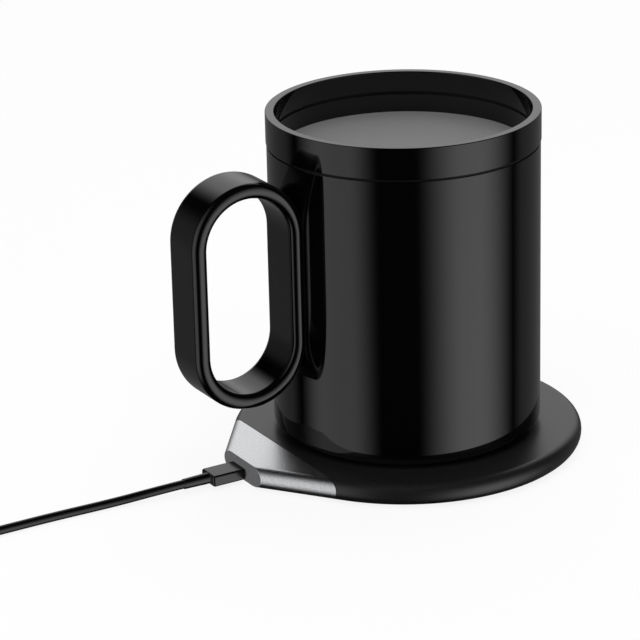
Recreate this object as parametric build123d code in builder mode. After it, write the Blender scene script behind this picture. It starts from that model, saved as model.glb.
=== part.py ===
from build123d import *
from math import acos, atan2, cos, hypot, pi, radians, sin, sqrt, tan
import os

# Electric mug warmer: a thin round warming pad, a double-walled heated mug that stands
# on it, and a USB cable plugged into the pad's metal nose.
# Millimetres, +Z up. The origin is on the desk under the centre of the pad, and the
# nose, the mug's handle and the cable all point along -X.

# ---------------------------------------------------------------- driving sizes
# Warming pad, outside
pad_radius = 54.7
pad_height = 7.2            # desk to warming face
nose_past_round = 4.9       # the flat port face stands this far outside the round
nose_half_width = 11.4      # half the port face, where it is widest
seam_past_tangent = 0.8     # the metal nose starts this far beyond the end of the round
side_band = 0.2             # upright band between the two rounded edges
edge_radius_step = 0.5      # the lower edge is rounder than the upper one by this
foot_proud = 0.3            # the foot pad stands out of the bottom cover by this
foot_pad_inset = 5.0        # cover screws' circle to the foot pad's edge
foot_pad_sunk = 0.4         # depth of the foot pad's seat in the cover

# Warming pad, inside
skin_thickness = 1.2        # under the warming face
rim_land = 0.4              # flat ring of the rim around the bottom cover
ledge_width = 1.4           # the cover lies on this ledge
cover_thickness = 1.2
cover_screw_inset = 11.7    # pad's edge to the cover screws' circle
cover_screw_from_seam = 4.9
boss_radius = 2.5
tongue_lift = 0.3           # board to the nose's tongues
tongue_margin = 1.6         # metal left around the boss hole
port_wall = 1.1             # metal between the port face and the socket
coil_ring_wall = 1.0        # ring that centres the coil
lead_notch = 8.0            # gap in that ring for the coil's leads
blind_end = 0.5             # plastic left over a screw's blind hole

# Port, plug and cable
port_y = 1.4
port_z = 3.0
plug_tip_width = 6.85
plug_tip_height = 1.85
plug_tip_length = 5.4       # out of the plug body
plug_tip_inset = 3.0        # into the plug body
plug_tip_wall = 0.3
plug_tip_corner = 0.5
tongue_end_gap = 0.6        # mouth of a socket or plug to its tongue
socket_wall = 0.25
socket_length = 6.2
plug_width = 8.0
plug_thickness = 3.6
plug_length = 11.4
plug_edge_radius = 0.35
boot_length = 8.3
boot_radius = 1.75
boot_end_radius = 1.6
cord_radius = 1.4
coil_columns = 4
coil_layers = 2
coil_x = -158.0
coil_entry_y = 4.3
tie_thickness = 0.5
tie_width = 5.0
tie_bow = 0.3               # the tie stands off the coil's sides by this
tie_corner_radius = 1.2
usb_from_coil = 35.4        # coil centre to the plug's axis
usb_boot_from_entry = 35.0
usb_inset = 3.0
usb_width = 15.6
usb_thickness = 7.6
usb_length = 20.0
usb_edge_radius = 1.6
usb_tip_width = 12.0
usb_tip_height = 4.5
usb_tip_length = 12.0
usb_tip_wall = 0.3
usb_tip_window = 2.2        # side of each square window in the tip
usb_window_share = 0.6      # how far along the tip they are
usb_tongue_thickness = 1.9
usb_boot_length = 9.0
usb_boot_radius = 2.4
usb_boot_end_radius = 1.7

# Coil and board of the pad
coil_thickness = 1.0
coil_share = 0.42           # coil's radius over the pad's
coil_hole_share = 0.39      # each coil's hole over its outside
coil_grooves = 6
groove_depth = 0.3
ferrite_thickness = 0.8
ferrite_overhang = 2.0      # ferrite beyond the coil
board_thickness = 0.8
board_lift = 1.3            # bottom cover to board
board_from_ferrite = 2.0
board_half_angle = 62.0
board_screw_angle = 48.0
board_tab_margin = 1.5      # board on each side of the socket's notch
board_tab_root = 3.0        # the tab starts this far inside the crescent
board_tab_reach = 2.0       # the tab runs this far along the socket
post_radius = 2.0
chip_side = 5.0
chip_height = 0.9
inductor_side = 6.0
inductor_room = 0.5         # inductor to the skin
capacitor_length = 2.0
capacitor_width = 1.25
capacitor_height = 1.0
chip_angles = (14, -30)     # round the crescent, from the nose
inductor_angle = 31
capacitor_angles = (-15, -8, -1)
lead_radius = 0.35
lead_spacing = 3.0
lead_on_board = 2.0         # the leads land this far in from the board's edge

# Mug, outside
mug_height = 101.7          # warming face to rim
shell_radius = 41.8
rim_proud = 0.2             # the rim band stands out of the shell by this
wall_width = 2.55           # outside of the shell to the bore
band_height = 9.8           # rim to the outer seam
lip_height = 6.5            # rim to the inner seam
outer_seam = 0.6
inner_seam = 0.9
foot_height = 3.2
foot_inset = 3.5            # the foot is set back under the shell by this
rim_edge_radius = 0.25
shell_edge_radius = 0.25

# Handle: a tall loop with half-round ends
handle_leg_proud = 2.9      # the inner leg stands out of the shell by this
handle_depth = 37.8         # outside width of the loop
handle_height = 71.1
handle_top_drop = 11.7      # rim to the top of the loop
handle_band = 4.8           # thickness of the band
handle_width = 17.0
handle_flat = 0.288         # flat strip left between the band's rounded edges
handle_skin = 1.0           # left over the screws' blind holes in the leg

# Mug, inside
shell_wall = 0.8
liner_wall = 0.5
spigot_length = 5.0         # rim band's neck between shell and liner
liner_floor_radius = 6.0
foot_wall = 1.4
foot_floor = 1.2
mug_foot_proud = 0.3
mug_foot_ring_width = 3.0
mug_foot_ring_sunk = 0.5
gasket_thickness = 0.5
flange_thickness = 1.5
carrier_thickness = 1.5
insulation_thickness = 2.8
film_thickness = 0.3
heater_plate_thickness = 1.2
heater_margin = 0.5         # heater's edge to the round of the liner's floor
film_inset = 1.0            # film's edge inside the heater plate's
carrier_windows = 6
window_circle_share = 0.55  # of the carrier screws' circle
window_share = 0.16
receiver_thickness = 1.0
receiver_ferrite_thickness = 0.7
mug_board_thickness = 0.8
board_edge_gap = 0.6
mug_board_lift = 0.7        # receiver ferrite to board
mug_board_hole_margin = 2.0 # around the sensor
mug_board_screw_grip = 1.2  # of its screws in the posts
coil_from_posts = 1.2       # receiver coil's edge to the board's posts
sensor_radius = 2.0
sensor_edge_radius = 0.5

# Fastener heads and shanks
screw_head_radius = 1.9
screw_head_height = 1.1
screw_shank_radius = 0.95
small_head_radius = 1.5
small_head_height = 0.7
small_shank_radius = 0.7
handle_head_radius = 2.4
handle_head_height = 0.6
handle_shank_radius = 1.4

# Clearances
part_fit = 0.1              # around pieces that slip into each other
plug_fit = 0.12             # around the plug's tip in the socket
mouth_fit = 0.35            # around the plug's tip in the port face
screw_hole_fit = 0.2
cut_margin = 2.0            # a through cut starts and ends this far outside the wall

# ---------------------------------------------------------------- worked-out places
nose_reach = pad_radius + nose_past_round
pad_thickness = pad_height - foot_proud
top_edge_radius = (pad_thickness - side_band - edge_radius_step) / 2
bottom_edge_radius = top_edge_radius + edge_radius_step
skin_under = pad_height - skin_thickness
cover_top = foot_proud + cover_thickness
cover_seat_radius = pad_radius - bottom_edge_radius - rim_land
cavity_radius = cover_seat_radius - ledge_width

# The nose's flanks leave the round at this angle from the -X axis.
corner_distance = hypot(nose_reach, nose_half_width)
flank_angle = acos(pad_radius / corner_distance) + atan2(nose_half_width, nose_reach)
seam_x = pad_radius * cos(flank_angle) + seam_past_tangent
flank_meeting = pad_radius / cos(flank_angle)
outline_end = (nose_reach + flank_meeting) / 2
flank_x = -pad_radius * cos(flank_angle)
flank_y = pad_radius * sin(flank_angle)
end_y = flank_y - (outline_end + flank_x) / tan(flank_angle)

cover_screw_circle = pad_radius - cover_screw_inset
foot_pad_radius = cover_screw_circle - foot_pad_inset
screw_x = seam_x - cover_screw_from_seam
screw_y = sqrt(cover_screw_circle**2 - screw_x**2)
cover_screw_points = [(x, y) for x in (-screw_x, screw_x) for y in (-screw_y, screw_y)]

coil_outer_radius = coil_share * pad_radius
coil_under = skin_under - coil_thickness
ferrite_under = coil_under - ferrite_thickness
ferrite_radius = coil_outer_radius + ferrite_overhang
board_under = cover_top + board_lift
board_top = board_under + board_thickness
tongue_thickness = skin_under - part_fit - board_top - tongue_lift
inductor_height = skin_under - board_top - inductor_room
board_inner_radius = ferrite_radius + board_from_ferrite
board_outer_radius = cover_screw_circle - boss_radius - 10 * part_fit
board_middle_radius = (board_inner_radius + board_outer_radius) / 2

socket_width = plug_tip_width + 2 * (plug_fit + socket_wall)
socket_height = plug_tip_height + 2 * (plug_fit + socket_wall)
socket_front = nose_reach - port_wall
socket_back = socket_front - socket_length
board_tab_width = socket_width + 2 * board_tab_margin
board_tab_front = socket_back + board_tab_reach

face_z = pad_height                         # the mug stands on this
rim_z = face_z + mug_height
wall_z = face_z + foot_height
outer_seam_z = rim_z - band_height
inner_seam_z = rim_z - lip_height
shell_inner_radius = shell_radius - shell_wall
rim_radius = shell_radius + rim_proud
bore_radius = shell_radius - wall_width
foot_radius = shell_radius - foot_inset
liner_radius = bore_radius + liner_wall
heater_radius = bore_radius - liner_floor_radius - heater_margin
foot_hole_radius = foot_radius + 4 * part_fit
gasket_z = wall_z + shell_wall
flange_z = gasket_z + gasket_thickness
carrier_z = flange_z + flange_thickness
insulation_z = carrier_z + carrier_thickness
film_z = insulation_z + insulation_thickness
heater_z = film_z + film_thickness
liner_z = heater_z + heater_plate_thickness
flange_radius = shell_inner_radius - 3 * part_fit
foot_floor_z = face_z + mug_foot_proud
foot_floor_top = foot_floor_z + foot_floor
foot_inner_radius = foot_radius - foot_wall
foot_ring_outer = foot_inner_radius
carrier_screw_circle = foot_ring_outer - mug_foot_ring_width - 1.5 * post_radius
mug_board_radius = carrier_screw_circle - post_radius - board_edge_gap
mug_board_screw_circle = mug_board_radius - small_head_radius - board_edge_gap
receiver_radius = mug_board_screw_circle - post_radius - coil_from_posts
receiver_ferrite_z = foot_floor_top + receiver_thickness
receiver_top = receiver_ferrite_z + receiver_ferrite_thickness
mug_board_z = receiver_top + mug_board_lift
mug_board_top = mug_board_z + mug_board_thickness

# The handle's two screws are at the ends of its straight run.
handle_centre_x = -(shell_radius + handle_leg_proud - handle_band + handle_depth / 2)
handle_centre_z = rim_z - handle_top_drop - handle_height / 2
handle_straight = handle_height - handle_depth
handle_screw_heights = [handle_centre_z + side * handle_straight / 2 for side in (-1, 1)]
handle_hole_depth = handle_leg_proud - handle_skin
handle_screw_depth = handle_hole_depth - 3 * part_fit
handle_screw_seat = shell_inner_radius - handle_head_height - part_fit

plug_back = -(nose_reach + plug_length)
boot_back = plug_back - boot_length

# The coil has its middle turn about twelve cord diameters across and lies in layers.
cord_diameter = 2 * cord_radius
coil_middle_radius = 6 * cord_diameter
coil_turn_radii = [coil_middle_radius + cord_diameter * (c - (coil_columns - 1) / 2) for c in range(coil_columns)]
coil_y = coil_entry_y + coil_turn_radii[-1]
coil_low_z = tie_thickness + cord_radius
coil_high_z = coil_low_z + cord_diameter * (coil_layers - 1)
usb_x = coil_x - usb_from_coil
usb_z = usb_thickness / 2
usb_boot_y = coil_entry_y + usb_boot_from_entry
usb_body_y = usb_boot_y + usb_boot_length
usb_tip_y = usb_body_y + usb_length

os.makedirs("parts", exist_ok=True)


def save(piece, name):
    piece.part.label = name
    export_step(piece.part, f"parts/{name}.step")


def screw(head_radius, head_height, shank_radius, length, sunk=False):
    # Screw that points up +Z from the outer face of its head, with a six-sided drive.
    head_edge = [] if sunk else [(head_radius, head_height)]
    with BuildPart() as one_screw:
        with BuildSketch(Plane.XZ):
            Polygon(
                (0, 0),
                (head_radius, 0),
                *head_edge,
                (shank_radius, head_height),
                (shank_radius, length - shank_radius / 2),
                (0, length),
                align=None,
            )
        revolve(axis=Axis.Z)
        with BuildSketch():
            RegularPolygon(head_radius * 0.45, 6)
        extrude(amount=head_height * 0.5, mode=Mode.SUBTRACT)
    return one_screw.part


# ---------------------------------------------------------------- warming pad
# The whole pad as one rounded form: a disc, and two flanks that run from it to the nose.
with BuildPart() as pad_form:
    with BuildSketch(Plane.XY.offset(foot_proud)):
        Circle(pad_radius)
        Polygon((flank_x, flank_y), (-outline_end, end_y), (-outline_end, -end_y), (flank_x, -flank_y), align=None)
    extrude(amount=pad_thickness)
    fillet(pad_form.faces().sort_by(Axis.Z)[-1].edges(), top_edge_radius)
    fillet(pad_form.faces().sort_by(Axis.Z)[0].edges(), bottom_edge_radius)
    split(bisect_by=Plane.YZ.offset(-nose_reach), keep=Keep.TOP)

# Black upper shell: warming face, solid rim, screw bosses, board posts and a ring that
# centres the coil.
board_post_points = [
    (-board_middle_radius * cos(radians(a)), board_middle_radius * sin(radians(a)))
    for a in (-board_screw_angle, board_screw_angle)
]
with BuildPart() as base_housing:
    add(pad_form.part)
    split(bisect_by=Plane.YZ.offset(-seam_x), keep=Keep.TOP)
    with BuildSketch(Plane.XY.offset(foot_proud)):
        Circle(cover_seat_radius)
    extrude(amount=cover_thickness, mode=Mode.SUBTRACT)
    with BuildSketch(Plane.XY.offset(cover_top)):
        Circle(cavity_radius)
    extrude(amount=skin_under - cover_top, mode=Mode.SUBTRACT)
    with BuildSketch(Plane.XY.offset(cover_top)):
        with Locations(*cover_screw_points):
            Circle(boss_radius)
    extrude(amount=skin_under - cover_top)
    with BuildSketch(Plane.XY.offset(board_top)):
        with Locations(*board_post_points):
            Circle(post_radius)
    extrude(amount=skin_under - board_top)
    with BuildSketch(Plane.XY.offset(coil_under)):
        Circle(coil_outer_radius + part_fit + coil_ring_wall)
        Circle(coil_outer_radius + part_fit, mode=Mode.SUBTRACT)
        with Locations((-coil_outer_radius, 0)):
            Rectangle(lead_notch, lead_notch, mode=Mode.SUBTRACT)
    extrude(amount=coil_thickness)
    with BuildSketch(Plane.XY.offset(cover_top)):
        with Locations(*cover_screw_points):
            Circle(screw_shank_radius)
        with Locations(*board_post_points):
            Circle(small_shank_radius)
    extrude(amount=skin_under - cover_top - blind_end, mode=Mode.SUBTRACT)
save(base_housing, "base_housing")

# Metal nose: closes the pad at the seam, is keyed over two bosses by its tongues, and
# holds the socket in a pocket behind the port face.
with BuildPart() as corner_trim:
    add(pad_form.part)
    split(bisect_by=Plane.YZ.offset(-(seam_x + part_fit)), keep=Keep.BOTTOM)
    tongue_end = screw_x - boss_radius - part_fit - tongue_margin
    tongue_root = seam_x + tongue_margin
    with BuildSketch(Plane.XY.offset(skin_under - part_fit - tongue_thickness)):
        with Locations(*[(-(tongue_root + tongue_end) / 2, y) for y in (-screw_y, screw_y)]):
            Rectangle(tongue_root - tongue_end, 2 * (boss_radius + tongue_margin))
        Circle(cavity_radius - part_fit / 2, mode=Mode.INTERSECT)
    extrude(amount=tongue_thickness)
    with BuildSketch(Plane.XY.offset(cover_top)):
        with Locations(*[(-screw_x, y) for y in (-screw_y, screw_y)]):
            Circle(boss_radius + part_fit)
    extrude(amount=skin_under - cover_top, mode=Mode.SUBTRACT)
    with BuildSketch(Plane.YZ.offset(-socket_front)):
        with Locations((port_y, port_z)):
            Rectangle(socket_width + 2 * part_fit, socket_height + 2 * part_fit)
    extrude(amount=socket_front - seam_x, mode=Mode.SUBTRACT)
    tab_room = board_tab_width + 4 * part_fit
    with BuildSketch(Plane.YZ.offset(-(board_tab_front + 2 * part_fit))):
        with Locations((port_y, (board_under + board_top) / 2)):
            Rectangle(tab_room, board_thickness + 4 * part_fit)
    extrude(amount=board_tab_front + 2 * part_fit - seam_x, mode=Mode.SUBTRACT)
    with BuildSketch(Plane.YZ.offset(-nose_reach)):
        with Locations((port_y, port_z)):
            RectangleRounded(
                plug_tip_width + 2 * mouth_fit, plug_tip_height + 2 * mouth_fit, plug_tip_corner + mouth_fit
            )
    extrude(amount=port_wall, mode=Mode.SUBTRACT)
save(corner_trim, "corner_trim")

# Bottom cover with the foot pad's seat and countersunk screw holes.
with BuildPart() as bottom_cover:
    with BuildSketch(Plane.XY.offset(foot_proud)):
        Circle(cover_seat_radius - part_fit)
    extrude(amount=cover_thickness)
    split(bisect_by=Plane.YZ.offset(-seam_x), keep=Keep.TOP)
    with BuildSketch(Plane.XY.offset(foot_proud)):
        Circle(foot_pad_radius + part_fit)
    extrude(amount=foot_pad_sunk, mode=Mode.SUBTRACT)
    with Locations(Plane.XY.offset(foot_proud).rotated((180, 0, 0))):
        with Locations(*cover_screw_points):
            CounterSinkHole(
                screw_shank_radius + screw_hole_fit, screw_head_radius + screw_hole_fit, depth=cover_thickness
            )
save(bottom_cover, "bottom_cover")

with BuildPart() as foot_pad:
    with BuildSketch():
        Circle(foot_pad_radius)
    extrude(amount=foot_proud + foot_pad_sunk)
    fillet(foot_pad.faces().sort_by(Axis.Z)[0].edges(), foot_proud / 2)
save(foot_pad, "foot_pad")

# Four countersunk screws that hold the cover.
cover_screw_length = skin_under - foot_proud - 2 * blind_end
cover_screw = screw(screw_head_radius, screw_head_height, screw_shank_radius, cover_screw_length, sunk=True)
with BuildPart() as cover_screws:
    with Locations(*[(x, y, foot_proud) for x, y in cover_screw_points]):
        add(cover_screw)
save(cover_screws, "cover_screws")

# Flat coil under the warming face, with the turns' grooves on its lower side, and the
# ferrite disc that backs it.


def flat_coil(radius, thickness):
    # Ring of flat-wound wire on z = 0, its turns shown by grooves on the lower side.
    hole_radius = radius * coil_hole_share
    groove_pitch = (radius - hole_radius) / (coil_grooves + 1)
    with BuildPart() as coil:
        with BuildSketch():
            Circle(radius)
            Circle(hole_radius, mode=Mode.SUBTRACT)
        extrude(amount=thickness)
        with BuildSketch():
            for turn in range(coil_grooves):
                Circle(hole_radius + groove_pitch * (turn + 1) + groove_depth / 2)
                Circle(hole_radius + groove_pitch * (turn + 1) - groove_depth / 2, mode=Mode.SUBTRACT)
        extrude(amount=groove_depth, mode=Mode.SUBTRACT)
    return coil.part


with BuildPart() as power_coil:
    with Locations((0, 0, coil_under)):
        add(flat_coil(coil_outer_radius, coil_thickness))
save(power_coil, "power_coil")

with BuildPart() as ferrite_disc:
    with BuildSketch(Plane.XY.offset(ferrite_under)):
        Circle(ferrite_radius)
    extrude(amount=ferrite_thickness)
save(ferrite_disc, "ferrite_disc")

# Crescent board around the ferrite, with a tab that carries the socket in its notch.
with BuildPart() as circuit_board:
    with BuildSketch(Plane.XY.offset(board_under)):
        with BuildLine():
            board_start = 180 - board_half_angle
            board_end = 180 + board_half_angle
            outer_arc = CenterArc((0, 0), board_outer_radius, board_start, 2 * board_half_angle)
            inner_arc = CenterArc((0, 0), board_inner_radius, board_start, 2 * board_half_angle)
            Line(outer_arc @ 0, inner_arc @ 0)
            Line(outer_arc @ 1, inner_arc @ 1)
        make_face()
        board_tab_back = board_outer_radius - board_tab_root
        with Locations((-(board_tab_front + board_tab_back) / 2, port_y)):
            Rectangle(board_tab_front - board_tab_back, board_tab_width)
        with Locations((-(board_tab_front + socket_back) / 2, port_y)):
            Rectangle(board_tab_reach, socket_width + 2 * part_fit, mode=Mode.SUBTRACT)
        with Locations(*board_post_points):
            Circle(small_shank_radius + screw_hole_fit, mode=Mode.SUBTRACT)
    extrude(amount=board_thickness)
save(circuit_board, "circuit_board")

board_screw_grip = skin_under - board_under - blind_end - part_fit
board_screw = screw(small_head_radius, small_head_height, small_shank_radius, small_head_height + board_screw_grip)
with BuildPart() as board_screws:
    with Locations(*[(x, y, board_under - small_head_height) for x, y in board_post_points]):
        add(board_screw)
save(board_screws, "board_screws")


def board_point(angle):
    return (-board_middle_radius * cos(radians(angle)), board_middle_radius * sin(radians(angle)))


# Parts on the board: driver chips, the inductor and a row of capacitors.
with BuildPart() as driver_chips:
    with BuildSketch(Plane.XY.offset(board_top)):
        with Locations(*[board_point(a) for a in chip_angles]):
            Rectangle(chip_side, chip_side)
    extrude(amount=chip_height)
save(driver_chips, "driver_chips")

with BuildPart() as power_inductor:
    with BuildSketch(Plane.XY.offset(board_top)):
        with Locations(board_point(inductor_angle)):
            RectangleRounded(inductor_side, inductor_side, inductor_side / 5)
    extrude(amount=inductor_height)
save(power_inductor, "power_inductor")

with BuildPart() as capacitors:
    with BuildSketch(Plane.XY.offset(board_top)):
        with Locations(*[board_point(a) for a in capacitor_angles]):
            Rectangle(capacitor_width, capacitor_length)
    extrude(amount=capacitor_height)
save(capacitors, "capacitors")

# Two leads run from the coil over the ferrite's edge and down to the board.
lead_z = coil_under + coil_thickness / 2
lead_end_x = -(board_inner_radius + lead_on_board)
with BuildPart() as coil_leads:
    for lead_y in (-lead_spacing / 2, lead_spacing / 2):
        with BuildLine() as lead_path:
            FilletPolyline(
                (-coil_outer_radius, lead_y, lead_z), (lead_end_x, lead_y, lead_z), (lead_end_x, lead_y, board_top),
                radius=(lead_z - board_top) / 2,
            )
        with BuildSketch(Plane(lead_path.line @ 0, z_dir=lead_path.line % 0)):
            Circle(lead_radius)
        sweep(path=lead_path.line)
save(coil_leads, "coil_leads")

# Socket: a folded steel sleeve around a plastic tongue.
with BuildPart() as usb_socket:
    with BuildSketch(Plane.YZ.offset(-socket_front)):
        with Locations((port_y, port_z)):
            RectangleRounded(socket_width, socket_height, plug_tip_corner + socket_wall)
    extrude(amount=socket_length)
    with BuildSketch(Plane.YZ.offset(-socket_front)):
        with Locations((port_y, port_z)):
            RectangleRounded(socket_width - 2 * socket_wall, socket_height - 2 * socket_wall, plug_tip_corner)
    extrude(amount=socket_length - socket_wall, mode=Mode.SUBTRACT)
save(usb_socket, "usb_socket")

socket_floor = socket_back + socket_wall
tongue_inside_width = plug_tip_width - 2 * (plug_tip_wall + plug_tip_corner)
with BuildPart() as socket_tongue:
    with BuildSketch(Plane.YZ.offset(-socket_floor)):
        with Locations((port_y, port_z)):
            Rectangle(tongue_inside_width, (plug_tip_height - 2 * plug_tip_wall) / 3)
    extrude(amount=-(plug_tip_length - port_wall - tongue_end_gap))
save(socket_tongue, "socket_tongue")

# ---------------------------------------------------------------- mug
# Outer shell, rolled in at the bottom, with the handle's screw holes in its wall.
with BuildPart() as mug_shell:
    with BuildSketch(Plane.XZ):
        shell_top = outer_seam_z - outer_seam
        Polygon(
            (foot_hole_radius, wall_z),
            (shell_radius, wall_z),
            (shell_radius, shell_top),
            (shell_inner_radius, shell_top),
            (shell_inner_radius, wall_z + shell_wall),
            (foot_hole_radius, wall_z + shell_wall),
            align=None,
        )
    revolve(axis=Axis.Z)
    fillet(mug_shell.edges().filter_by(GeomType.CIRCLE).group_by(Axis.Z)[0].sort_by(SortBy.RADIUS)[-1], shell_edge_radius)
    with BuildSketch(Plane.YZ.offset(-shell_inner_radius + cut_margin)):
        with Locations(*[(0, z) for z in handle_screw_heights]):
            Circle(handle_shank_radius + part_fit)
    extrude(amount=-(shell_wall + 2 * cut_margin), mode=Mode.SUBTRACT)
save(mug_shell, "mug_shell")

# Rim band: closes the gap between shell and liner, with a neck that slips in between.
with BuildPart() as rim_ring:
    with BuildSketch(Plane.XZ):
        neck_inner = liner_radius + part_fit
        neck_outer = shell_inner_radius - part_fit
        Polygon(
            (bore_radius, rim_z),
            (rim_radius, rim_z),
            (rim_radius, outer_seam_z),
            (neck_outer, outer_seam_z),
            (neck_outer, outer_seam_z - spigot_length),
            (neck_inner, outer_seam_z - spigot_length),
            (neck_inner, inner_seam_z),
            (bore_radius, inner_seam_z),
            align=None,
        )
    revolve(axis=Axis.Z)
    fillet(rim_ring.edges().filter_by(GeomType.CIRCLE).group_by(Axis.Z)[-1], rim_edge_radius)
save(rim_ring, "rim_ring")

# Seal in the outer seam, set back from the surface.
with BuildPart() as rim_seal:
    with BuildSketch(Plane.XY.offset(outer_seam_z - outer_seam)):
        Circle(shell_radius - shell_wall / 2)
        Circle(shell_inner_radius, mode=Mode.SUBTRACT)
    extrude(amount=outer_seam)
save(rim_seal, "rim_seal")

# Liner: the deep-drawn cup that holds the drink.
with BuildPart() as mug_liner:
    with BuildSketch(Plane.XY.offset(liner_z)):
        Circle(liner_radius)
    extrude(amount=inner_seam_z - inner_seam - liner_z)
    fillet(mug_liner.faces().sort_by(Axis.Z)[0].edges(), liner_floor_radius)
    offset(amount=-liner_wall, openings=mug_liner.faces().sort_by(Axis.Z)[-1])
save(mug_liner, "mug_liner")

# Handle: a stadium-shaped band with rounded edges, its inner leg hollowed to sit on the
# shell and drilled for two screws.
with BuildPart() as handle_loop:
    with BuildSketch(Plane.XZ.offset(-handle_width / 2)):
        with Locations((handle_centre_x, handle_centre_z)):
            SlotOverall(handle_height, handle_depth, rotation=90)
            SlotOverall(handle_height - 2 * handle_band, handle_depth - 2 * handle_band, rotation=90, mode=Mode.SUBTRACT)
    extrude(amount=handle_width)
    side_faces = handle_loop.faces().filter_by(Axis.Y)
    fillet(side_faces.edges(), (handle_band - handle_flat) / 2)
    with BuildSketch(Plane.XY):
        Circle(shell_radius + part_fit / 2)
    extrude(amount=rim_z, mode=Mode.SUBTRACT)
    with BuildSketch(Plane.YZ.offset(-shell_radius)):
        with Locations(*[(0, z) for z in handle_screw_heights]):
            Circle(handle_shank_radius + part_fit)
    extrude(amount=-handle_hole_depth, mode=Mode.SUBTRACT)
save(handle_loop, "handle_loop")

handle_screw_length = handle_head_height + shell_wall + handle_screw_depth
handle_screw = screw(handle_head_radius, handle_head_height, handle_shank_radius, handle_screw_length)
with BuildPart() as handle_screws:
    with Locations(
        *[Plane((-handle_screw_seat, 0, z), x_dir=(0, 1, 0), z_dir=(-1, 0, 0)) for z in handle_screw_heights]
    ):
        add(handle_screw)
save(handle_screws, "handle_screws")

# Foot cover: the recessed foot that the mug stands on, with a flange inside the shell,
# screw bosses up to the heater carrier and short posts for the board.
carrier_screw_points = [
    (carrier_screw_circle * cos(radians(a)), carrier_screw_circle * sin(radians(a))) for a in (0, 120, 240)
]
mug_board_points = [
    (mug_board_screw_circle * cos(radians(a)), mug_board_screw_circle * sin(radians(a))) for a in (60, 180, 300)
]
with BuildPart() as foot_cover:
    with BuildSketch(Plane.XZ):
        Polygon(
            (0, foot_floor_z),
            (foot_radius, foot_floor_z),
            (foot_radius, flange_z),
            (flange_radius, flange_z),
            (flange_radius, carrier_z),
            (foot_inner_radius, carrier_z),
            (foot_inner_radius, foot_floor_top),
            (0, foot_floor_top),
            align=None,
        )
    revolve(axis=Axis.Z)
    with BuildSketch(Plane.XY.offset(foot_floor_top)):
        with Locations(*carrier_screw_points):
            Circle(post_radius)
    extrude(amount=carrier_z - foot_floor_top)
    with BuildSketch(Plane.XY.offset(foot_floor_top)):
        with Locations(*mug_board_points):
            Circle(post_radius)
    extrude(amount=mug_board_z - foot_floor_top)
    with BuildSketch(Plane.XY.offset(foot_floor_z)):
        Circle(foot_ring_outer + part_fit)
        Circle(foot_ring_outer - mug_foot_ring_width - part_fit, mode=Mode.SUBTRACT)
    extrude(amount=mug_foot_ring_sunk, mode=Mode.SUBTRACT)
    with BuildSketch(Plane.XY.offset(foot_floor_z)):
        with Locations(*carrier_screw_points):
            Circle(small_shank_radius + screw_hole_fit)
    extrude(amount=carrier_z - foot_floor_z, mode=Mode.SUBTRACT)
    with BuildSketch(Plane.XY.offset(foot_floor_z)):
        with Locations(*carrier_screw_points):
            Circle(small_head_radius + screw_hole_fit)
    extrude(amount=small_head_height + screw_hole_fit, mode=Mode.SUBTRACT)
    with BuildSketch(Plane.XY.offset(mug_board_z)):
        with Locations(*mug_board_points):
            Circle(small_shank_radius)
    extrude(amount=-(mug_board_screw_grip + 4 * part_fit), mode=Mode.SUBTRACT)
save(foot_cover, "foot_cover")

with BuildPart() as mug_foot_ring:
    with BuildSketch(Plane.XY.offset(face_z)):
        Circle(foot_ring_outer)
        Circle(foot_ring_outer - mug_foot_ring_width, mode=Mode.SUBTRACT)
    extrude(amount=mug_foot_proud + mug_foot_ring_sunk)
save(mug_foot_ring, "mug_foot_ring")

with BuildPart() as foot_gasket:
    with BuildSketch(Plane.XY.offset(gasket_z)):
        Circle(flange_radius)
        Circle(foot_radius + part_fit, mode=Mode.SUBTRACT)
    extrude(amount=gasket_thickness)
save(foot_gasket, "foot_gasket")

# Receiver coil, wound like the pad's own, and its ferrite.
with BuildPart() as receiver_coil:
    with Locations((0, 0, foot_floor_top)):
        add(flat_coil(receiver_radius, receiver_thickness))
save(receiver_coil, "receiver_coil")

with BuildPart() as receiver_ferrite:
    with BuildSketch(Plane.XY.offset(receiver_ferrite_z)):
        Circle(receiver_radius)
    extrude(amount=receiver_ferrite_thickness)
save(receiver_ferrite, "receiver_ferrite")

with BuildPart() as mug_board:
    with BuildSketch(Plane.XY.offset(mug_board_z)):
        Circle(mug_board_radius)
        Circle(sensor_radius + mug_board_hole_margin, mode=Mode.SUBTRACT)
        with Locations(*mug_board_points):
            Circle(small_shank_radius + screw_hole_fit, mode=Mode.SUBTRACT)
    extrude(amount=mug_board_thickness)
save(mug_board, "mug_board")

mug_board_screw_length = small_head_height + mug_board_thickness + mug_board_screw_grip
mug_board_screw = screw(small_head_radius, small_head_height, small_shank_radius, mug_board_screw_length)
with BuildPart() as mug_board_screws:
    with Locations(
        *[Plane((x, y, mug_board_top + small_head_height), z_dir=(0, 0, -1)) for x, y in mug_board_points]
    ):
        add(mug_board_screw)
save(mug_board_screws, "mug_board_screws")

with BuildPart() as mug_chips:
    with BuildSketch(Plane.XY.offset(mug_board_top)):
        with PolarLocations(mug_board_radius / 2, 2, start_angle=20):
            Rectangle(chip_side, chip_side)
    extrude(amount=chip_height)
save(mug_chips, "mug_chips")

# Carrier, insulation, film heater and spreader plate, stacked under the liner's floor,
# with the sensor through the middle of them.
with BuildPart() as heater_carrier:
    with BuildSketch(Plane.XY.offset(carrier_z)):
        Circle(flange_radius)
        with Locations(*carrier_screw_points):
            Circle(small_shank_radius, mode=Mode.SUBTRACT)
        with PolarLocations(carrier_screw_circle * window_circle_share, carrier_windows):
            Circle(carrier_screw_circle * window_share, mode=Mode.SUBTRACT)
    extrude(amount=carrier_thickness)
save(heater_carrier, "heater_carrier")

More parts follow.
